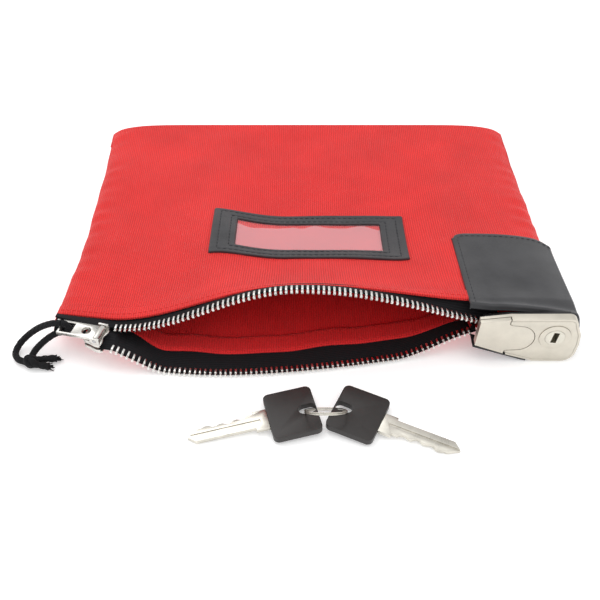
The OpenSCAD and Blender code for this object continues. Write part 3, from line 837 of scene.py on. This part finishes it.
def stitches(name, path, material, stitch=2.3, gap=1.1, radius=0.24):
    """A row of sewn stitches along a path. Returns the object and each stitch's middle."""
    step = stitch + gap
    fine = smooth_path(path, 0.5)[0] if len(path) < 40 else np.array(path, float)
    along = np.concatenate([[0], np.cumsum(np.linalg.norm(np.diff(fine, axis=0), axis=1))])
    count = int(along[-1] / step)
    at = (np.arange(count) + 0.5) * along[-1] / count
    middle = np.stack([np.interp(at, along, fine[:, k]) for k in range(3)], 1)
    ahead = np.stack([np.interp(np.minimum(at + 0.8, along[-1]), along, fine[:, k]) for k in range(3)], 1)
    behind = np.stack([np.interp(at - 0.8, along, fine[:, k]) for k in range(3)], 1)
    base = ball((stitch / 2, radius, radius), rings=5)
    frames = [frame_at(m + [0, 0, RNG.normal(0, 0.02)], a - b + RNG.normal(0, 0.03, 3), (0, 0, 1))
              for m, a, b in zip(middle, ahead, behind)]
    obj = merged(name, base, frames)
    obj.data.materials.append(material)
    return obj, np.repeat(middle, len(base[0]), axis=0)


def hem_upper():
    wave = lambda x: 0.35 * np.sin(x / 9.0) + 0.2 * np.sin(x / 4.1)

    def point(x, d):
        y = hem_y(x) + d
        t = x / side_x(front_v(x, np.maximum(y, hem_y(x))))
        shown = x + np.sign(t) * np.abs(t) ** 6 * side_wiggle(y, 1.3 + np.sign(t))
        round_front = 1.5 * (1 - np.sqrt(np.maximum(0, 1 - np.clip((1.2 - d) / 1.5, 0, 1) ** 2)))
        return shown, y, cloth_z(x, np.maximum(y, hem_y(x))) + 0.75 - round_front + 0.08 * wave(x)

    xs = np.linspace(-HALF_W + 1.6, LOCK_X - 3, 220)
    obj = strip("hem_upper_fold", xs, np.array([8.2, 8.0, 6, 4.2, 3.4, 2.6, 1.5, 0.9, 0.4, 0, -0.25]),
                point, RED_OUT, 0.6)
    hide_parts("hem_upper")
    follow_panel(obj)
    x = np.linspace(-HALF_W + 3, LOCK_X - 4, 400)
    path = np.stack(point(x, 3.0 + 0 * x), 1) + [0, 0, 0.08]
    line, middle = stitches("hem_upper_stitches", path, RED_THREAD, 2.2, 0.9, 0.2)
    follow(line, panel_share(middle[:, 0], middle[:, 1]))
    return [obj, line]


def tape_front_y(x):
    t = ease((TEETH_START_X - x) / 10)
    return (up_y(x) + 0.7) * (1 - t) + (chain_y(x) + 2.0) * t


def tape_front_z(x):
    t = ease((TEETH_START_X - x) / 10)
    return up_z(x) * (1 - t) + (CHAIN_Z + 1.7) * t


def tape_upper():
    xs = np.linspace(-HALF_W + 1.5, UPPER_TEETH_END_X + 1.5, 240)

    def point(x, t):
        y = hem_y(x) + 3 + (tape_front_y(x) - hem_y(x) - 3) * t
        start = hem_z(x) - 1.6
        z = start + (tape_front_z(x) + 0.35 - start) * ease(0.15 + 0.85 * t) ** 0.9
        return x, y, z + 0.12 * np.sin(x / 7.0) * (1 - t)

    X, T = np.meshgrid(xs, np.linspace(0, 1, 9), indexing="ij")
    xyz, uv = np.stack(point(X, T), 2), np.stack([X, T * 9], 2)
    obj = grid("zip_tape_upper_weave", xyz[:, ::-1], uv[:, ::-1])
    obj.data.materials.append(TAPE)
    thicken(obj, 0.7, -1)
    bake(obj)
    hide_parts("zip_tape_upper")
    p = points(obj)
    return follow(obj, lip_share(p[:, 0], p[:, 1]))


def lower_strips():
    xs = np.linspace(TEETH_START_X - 6.5, LOCK_X + 2, 200)

    def by_slider(x):
        return ease((-78 - x) / 24)

    def wave(x):
        return np.sin(x / 13.0 + 0.6) + 0.6 * np.sin(x / 5.7)

    def tape_point(x, d):
        y = low_y(x) + d * (1 + 0.45 * by_slider(x) * ease(d / 10))
        # Looking a little to the left keeps the tape over the cloth where its edge steps back
        shift = 2.5 * ease((TEETH_START_X + 5 - x) / 2)
        under = np.maximum(floor_z(x, y), floor_z(x - shift, y))
        return x, y, under + CLOTH + 0.75 + 0.25 * np.sin(x / 9.0) * ease(d / 8)

    across = np.array([17.5, 15, 12, 9, 6, 4, 2.2, 0.4, -0.6])
    tape = strip("zip_tape_lower_weave", xs, across, tape_point, TAPE, 0.7)
    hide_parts("zip_tape_lower")

    def hem_point(x, d):
        y = low_y(x) + 14.2 + d + 0.6 * wave(x) + 8 * by_slider(x)
        swell = 1.1 * np.sqrt(np.clip(d / 1.6, 0, 1)) * (1 - 0.5 * ease((d - 4) / 9))
        return x, y, floor_z(x, y) + CLOTH + 0.8 + swell + 0.15 * wave(x)

    across = np.array([13, 11, 8, 5, 3, 1.8, 1.0, 0.4, 0.1, 0])
    hem = strip("hem_lower_fold", xs, across, hem_point, RED_INSIDE_LIT, 0.6)
    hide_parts("hem_lower")
    x = np.linspace(TEETH_START_X, LOCK_X, 300)
    line, middle = stitches("hem_lower_stitches", np.stack(hem_point(x, 2.6 + 0 * x), 1) + [0, 0, 0.05],
                            RED_THREAD, 2.2, 0.9, 0.2)
    for obj in (tape, hem):
        p = points(obj)
        follow(obj, low_share(p[:, 0], p[:, 1]))
    follow(line, low_share(middle[:, 0], middle[:, 1]))
    return [tape, hem, line]


hem_pieces = hem_upper()
upper_tape = tape_upper()
lower_pieces = lower_strips()

# ---- Zip teeth, chain and stops ----

def tooth():
    """One tooth at the origin: two legs that clamp the tape on +Y, and a cupped head on -Y."""
    parts = [block((1.15, 2.9, 0.7), (0, 0.95, 0.85), 0.2), block((1.15, 2.9, 0.7), (0, 0.95, -0.85), 0.2),
             block((1.15, 0.9, 2.3), (0, -0.25, 0), 0.2),
             block((1.4, 1.8, 1.5), (0, -1.35, 0), 0.35, 3), ball((0.45, 0.5, 0.4), (0, -1.5, 0.85), 6)]
    return together(*parts)


def teeth(name, node, end_x, curve, share):
    base = tooth()
    count = int((end_x - TEETH_START_X) / PITCH) + 1
    frames, middle = [], []
    for i in range(count):
        x = TEETH_START_X + 0.9 + i * PITCH + RNG.normal(0, 0.05)
        ahead, behind = curve(x + 1), curve(x - 1)
        centre = curve(x)
        tilt = RNG.normal(0, 0.025)
        frames.append(frame_at(centre, ahead - behind, (tilt, RNG.normal(0, 0.03), 1)))
        middle.append(x)
    obj = merged(name, base, frames)
    obj.data.materials.append(ZIP_METAL)
    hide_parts(node)
    return follow(obj, np.repeat(share(np.array(middle)), len(base[0])))


def lower_teeth_share(x):
    return 1 - low_z(x) / 12


teeth("teeth_upper_row", "teeth_upper", UPPER_TEETH_END_X,
      lambda x: np.array([x, float(up_y(x)), float(up_z(x))]), teeth_share)
teeth("teeth_lower_row", "teeth_lower", LOWER_TEETH_END_X,
      lambda x: np.array([x, float(low_y(x)), float(low_z(x)) + CLOTH + 0.55]),
      lower_teeth_share)


def chain():
    """The closed stretch: interlocked teeth that show between the edges of the two tapes."""
    frames = []
    slope = (1, float(chain_y(1) - chain_y(0)), 0)
    count = int((CHAIN_X - CHAIN_END_X) / PITCH * 2)
    for i in range(0, count, 2):
        x = CHAIN_END_X + 1.4 + i * PITCH / 2
        side = 1 if i % 4 else -1
        frames.append(frame_at((x, float(chain_y(x)) + 0.25 * side, CHAIN_Z + 0.8), slope, (0, 0, 1)))
    obj = merged("zip_chain_teeth", block((1.1, 2.2, 2.0), (0, 0, 0), 0.45, 3), frames)
    obj.data.materials.append(ZIP_METAL)
    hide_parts("zip_chain")
    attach(obj, "bag")
    xs = np.linspace(CHAIN_END_X - 2.2, CHAIN_X, 30)
    tape = strip("zip_chain_tape", xs, np.array([5.5, 3, 1, -1, -3, -6.5]),
                 lambda x, d: (x, chain_y(x) + d, CHAIN_Z + 1.3 - 0.12 * np.abs(d) ** 1.5 + 0 * x), TAPE, 0.8)
    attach(tape, "bag")


chain()
polished("bottom_stop", "bag", ZIP_METAL, 0.4)
polished("top_stop", "mouth", ZIP_METAL, 0.4, share=teeth_share(np.float64(101.6)))


def rounded(outline, times=2):
    """Cuts the corners of a closed outline."""
    p = np.array(outline, float)
    for _ in range(times):
        q = np.roll(p, -1, 0)
        p = np.stack([0.75 * p + 0.25 * q, 0.25 * p + 0.75 * q], 1).reshape(-1, 2)
    return p


def prism(outline, z0, z1, bevel=0.25):
    """A plate from z0 to z1 with rounded edges."""
    bm = bmesh.new()
    low = [bm.verts.new((x, y, z0)) for x, y in outline]
    face = bm.faces.new(low)
    top = bmesh.ops.extrude_face_region(bm, geom=[face])
    for v in top["geom"]:
        if isinstance(v, bmesh.types.BMVert):
            v.co.z = z1
    bmesh.ops.recalc_face_normals(bm, faces=bm.faces)
    sharp = [e for e in bm.edges if len(e.link_faces) == 2 and e.calc_face_angle(0) > 0.9]
    bmesh.ops.bevel(bm, geom=sharp, offset=bevel, segments=3, profile=0.5, affect="EDGES", clamp_overlap=True)
    bm.verts.index_update()
    return arrays(bm)


SLIDER_AT = [-113.4, -112, 14]
SLIDER_TURN = -16
SLIDER_SCALE = [0.9, 0.875, 0.8]


def slider():
    """Two plates joined by a post, with guides along their sides, narrow at the closed side."""
    half = [(-6.5, 3.4), (-5.6, 4.9), (-1.5, 5.6), (2.4, 7.2), (5.6, 7.0), (6.5, 5.2), (5.9, 2.4), (4.9, 0)]
    plate = rounded(half + [(x, -y) for x, y in half[::-1]][1:-1] + [(-6.9, -1.5), (-6.9, 1.5)])
    guide = [(-6.2, 3.6), (-5.2, 5.0), (-1.3, 5.7), (2.4, 7.1), (5.4, 6.9),
             (5.4, 5.9), (2.6, 6.0), (-1.1, 4.6), (-4.8, 4.0), (-5.6, 3.2)]
    other = [(x, -y) for x, y in guide[::-1]]
    post = rounded([(-0.5, 0), (2.4, 1.7), (4.9, 0), (2.4, -1.7)], 1)
    parts = [prism(plate, -4, -2.7, 0.4), prism(plate, 2.6, 3.9, 0.4), prism(post, -3, 3, 0.1)]
    for side in (guide, other):
        parts += [prism(rounded(side, 1), -3.2, -1.2, 0.3), prism(rounded(side, 1), 1.1, 3.1, 0.3)]
    verts, faces = together(*parts)
    # The top slopes down at the closed side, where the tab lies on it
    slope = np.clip(-(verts[:, 0] + 0.5) / 6, 0, 1)
    verts[:, 2] -= np.where(verts[:, 2] > 2, 0.5 * slope ** 1.3, 0)
    verts = verts * SLIDER_SCALE
    turn = np.array(Matrix.Rotation(math.radians(SLIDER_TURN), 3, "Z"))
    obj = mesh_object("slider_plates", (verts @ turn.T + SLIDER_AT) * MM, faces)
    obj.data.materials.append(SLIDER_METAL)
    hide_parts("slider_body")
    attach(obj, "slider")


slider()
polished("slider_crown", "slider", SLIDER_METAL, 0.4, 3)
polished("tab_pin_rod", "slider", STEEL, 0.25)
polished("pull_tab", "tab", SLIDER_METAL, 0.4, 3)

# ---- Label ----

LABEL = (116.0, 49.0, 86.0, 30.0, -28.0)


def loop_points(w, d, r, per_side=40):
    """A rounded rectangle round the label's middle, the same number of points on each side."""
    out = []
    for k, (sx, sy) in enumerate(((1, -1), (1, 1), (-1, 1), (-1, -1))):
        centre = (sx * (w / 2 - r), sy * (d / 2 - r))
        first = (-90 + 90 * k) * math.pi / 180
        for a in np.linspace(first, first + math.pi / 2, 8):
            out.append((centre[0] + r * math.cos(a), centre[1] + r * math.sin(a)))
        nx, ny = ((1, 1), (-1, 1), (-1, -1), (1, -1))[k]
        goal_a = first + math.pi / 2
        start = out[-1]
        end = (nx * (w / 2 - r) + r * math.cos(goal_a), ny * (d / 2 - r) + r * math.sin(goal_a))
        for t in np.linspace(0, 1, per_side + 2)[1:-1]:
            out.append((start[0] + (end[0] - start[0]) * t, start[1] + (end[1] - start[1]) * t))
    return np.array(out)


def label():
    w, d, ww, wd, mid = LABEL
    outer, inner = loop_points(w, d, 1.2), loop_points(ww, wd, 0.8)
    rows = []
    reach = np.concatenate([[0, 0.01, 0.03, 0.06], np.linspace(0.1, 0.9, 25), [0.94, 0.97, 0.99, 1]])
    for f in reach:
        xy = outer + (inner - outer) * f
        x, y = xy[:, 0], xy[:, 1] + mid
        across = np.linalg.norm(inner - outer, axis=1)
        near_out, near_in = f * across, (1 - f) * across
        near = np.minimum(near_out, near_in)
        lift = 0.1 + 1.5 * np.sqrt(np.clip(near / 0.9, 0, 1) * (2 - np.clip(near / 0.9, 0, 1)))
        lift -= 0.35 * np.exp(-((near_out - 3.0 * across / 9.5) / 0.6) ** 2)
        lift -= 0.30 * np.exp(-((near_in - 2.4 * across / 9.5) / 0.6) ** 2)
        rows.append(np.stack([x, y, cloth_z(x, y) + lift + 0.1 * folds(x, y, 21, 30, 0.6)], 1))
    table = np.array(rows)
    table = np.concatenate([table, table[:, :1]], 1)
    uv = table[:, :, :2]
    frame_piece = grid("label_frame_vinyl", table[::-1], uv[::-1])
    frame_piece.data.materials.append(VINYL)
    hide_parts("label_frame")
    follow_panel(frame_piece)
    pieces = [frame_piece]
    for name, f in (("label_stitches_outer", 0.315), ("label_stitches_inner", 0.745)):
        xy = outer + (inner - outer) * f
        xy = np.vstack([xy, xy[:1]])
        x, y = xy[:, 0], xy[:, 1] + mid
        path = np.stack([x, y, cloth_z(x, y) + 1.42], 1)
        line, middle = stitches(name, path, BLACK_THREAD, 2.3, 1.0, 0.26)
        follow(line, panel_share(middle[:, 0], middle[:, 1]))
        pieces.append(line)
    X, Y = np.meshgrid(np.linspace(-ww / 2 - 1.5, ww / 2 + 1.5, 90),
                       np.linspace(mid + wd / 2 + 1.5, mid - wd / 2 - 1.5, 40), indexing="ij")
    belly = np.clip(1 - (X / ww * 2) ** 4, 0, 1) * np.clip(1 - ((Y - mid) / wd * 2) ** 4, 0, 1)
    Z = cloth_z(X, Y) + 0.45 + 0.25 * belly + 0.12 * folds(X, Y, 31, 34, 1.0)
    xyz, uv = np.stack([X, Y, Z], 2), np.stack([X, Y], 2)
    window = grid("label_window_clear", xyz[:, ::-1], uv[:, ::-1])
    window.data.materials.append(CLEAR)
    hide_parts("label_window")
    follow_panel(window)
    return pieces + [window]


label_pieces = label()

# ---- Vinyl patches ----

def patch_corner(x):
    """Y of the patch's far edge, which is cut round at both corners."""
    left = np.clip((93 - x) / 9, 0, 1)
    right = np.clip((x - 128) / 13, 0, 1)
    return -30 - 6 * (1 - np.sqrt(1 - left ** 2)) - 12 * (1 - np.sqrt(1 - np.minimum(right, 0.98) ** 2))


def patch_point(s, v):
    """s from the left edge (0) round the bag's side (1); v from the far edge to the lock."""
    x = 83 + 54.4 * np.clip(s / 0.86, 0, 1)
    turn = np.clip((s - 0.86) / 0.14, 0, 1)
    y0 = patch_corner(x + 3 * turn)
    y = y0 + (-105.6 - y0) * v
    top = panel_z(x, y) + 1.25
    drop = np.minimum(top - 2.2, 26)
    a = turn * math.pi / 2
    x = x + 3.6 * np.sin(a)
    z = top - drop * (1 - np.cos(a)) * ease((v + 0.15) / 0.3) ** 0.5
    edge = np.minimum(np.minimum(s * 62, v * 72), 2.2)
    z = z - 0.9 * (1 - np.clip(edge / 0.9, 0, 1)) ** 2
    # A soft hollow behind the lock, and the turned edge over it
    z = z - 1.2 * np.exp(-((y + 86) / 12) ** 2) * np.exp(-((x - 112) / 16) ** 2)
    z = z + 0.9 * np.exp(-((y + 103.5) / 2.2) ** 2) - 1.9 * ease((v - 0.982) / 0.018)
    return widened(x, (100 - y) / 200), y, z


def patch():
    s = np.concatenate([[0, 0.006, 0.015, 0.03], np.linspace(0.05, 0.86, 50), np.linspace(0.87, 1, 16)])
    v = np.concatenate([[0, 0.005, 0.012, 0.025], np.linspace(0.04, 0.95, 50), np.linspace(0.96, 1, 12)])
    S, V = np.meshgrid(s, v, indexing="ij")
    xyz = np.stack(patch_point(S, V), 2)
    obj = grid("patch_upper_vinyl", xyz[:, ::-1], np.stack([S * 60, -V * 74], 2)[:, ::-1])
    obj.data.materials.append(VINYL)
    thicken(obj, 0.9, -1)
    bake(obj)
    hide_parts("patch_upper")
    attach(obj, "bag")
    left = np.stack(patch_point(np.full(150, 0.052), np.linspace(0.97, 0.07, 150)), 1)
    far = np.stack(patch_point(np.linspace(0.07, 0.9, 150), np.full(150, 0.045)), 1)
    route = np.vstack([left, far]) + [0, 0, 0.05]
    line, _ = stitches("patch_upper_stitches", route, BLACK_THREAD, 2.3, 1.0, 0.25)
    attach(line, "bag")


patch()
polished("patch_lower", "bag", VINYL, 0.4)

# ---- Lock ----

polished("lock_boot", "bag", VINYL_DARK, 0.3)
polished("lock_backing", "bag", STEEL, 0.2)
polished("lock_rivets", "bag", STEEL, 0.3)
polished("lock_tray", "bag", LOCK_SATIN, 0.55, 4)
polished("lock_cover", "bag", LOCK_SATIN, 0.2)
polished("cylinder_shell", "bag", LOCK_SATIN, 0.2)
polished("pop_latch", "latch", LOCK_SATIN, 0.22)
polished("key_plug", "plug", PLUG_METAL, 0.2)
polished("plug_clip", "plug", STEEL, 0.1)
polished("plug_cam", "plug", STEEL, 0.2)
polished("lock_bolt", "bolt", STEEL, 0.3)
polished("bolt_link", "bolt", STEEL, 0.2)
polished("latch_pin", "bag", STEEL, 0.15)
polished("latch_spring", "bag", STEEL, 0)
polished("tumbler_pins", "bag", BRASS, 0.15)
polished("tumbler_springs", "bag", STEEL, 0)

# ---- Keys ----

for key in ("key_a", "key_b"):
    polished(key + "_head", key, KEY_BLACK, 1.05, 5)
    polished(key + "_blade", key, KEY_METAL, 0.16, 2)


RING_AT = [7.5, -156.6, 8.4]
RING_R = 10.5
RING_WIRE_R = 0.38
RING_TILT = 43


def key_ring():
    """A split ring: nearly two turns of wire, pressed flat against each other."""
    turn = np.linspace(0.1, 4 * math.pi - 0.35, 260)
    rise = np.interp(turn, [0, 1.8 * math.pi, 2.2 * math.pi, 4 * math.pi], [-0.42, -0.42, 0.42, 0.42])
    flat = np.stack([RING_R * np.cos(turn), RING_R * np.sin(turn), rise], 1)
    tilt = -math.radians(RING_TILT)
    turned = np.array([[1, 0, 0], [0, math.cos(tilt), -math.sin(tilt)], [0, math.sin(tilt), math.cos(tilt)]])
    obj = swept("key_ring_wire", flat @ turned.T + RING_AT, RING_WIRE_R, 14)
    obj.data.materials.append(KEY_METAL)
    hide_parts("key_ring")
    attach(obj, "ring")


key_ring()

# ---- Floor, light ----

def floor_and_light():
    bpy.ops.mesh.primitive_plane_add(size=6, location=(0, 0, 0))
    floor = bpy.context.object
    floor.name = "floor"
    m = Maker("floor_white")
    m.shader.inputs["Emission Color"].default_value = (1, 1, 1, 1)
    m.shader.inputs["Emission Strength"].default_value = 0.3
    floor.data.materials.append(m.set(colour=(0.90, 0.90, 0.90, 1), rough=0.8, specular=0.1))
    world = bpy.data.worlds.new("studio")
    bpy.context.scene.world = world
    world.use_nodes = True
    world.node_tree.nodes["Background"].inputs[0].default_value = (1, 1, 1, 1)
    world.node_tree.nodes["Background"].inputs[1].default_value = 0.82
    for name, at, size, power in (("key", (-0.55, 0.35, 1.1), 0.9, 3.6), ("fill", (0.7, -0.5, 0.9), 0.9, 1.6),
                                  ("top", (0.0, 0.1, 1.3), 1.2, 3.0)):
        light = bpy.data.objects.new(name, bpy.data.lights.new(name, "AREA"))
        bpy.context.scene.collection.objects.link(light)
        light.location = at
        light.data.size = size
        light.data.energy = power
        aim = Vector((0, 0, 0)) - light.location
        light.rotation_euler = aim.to_track_quat("-Z", "Y").to_euler()
    bpy.context.scene.view_settings.view_transform = "Standard"


floor_and_light()
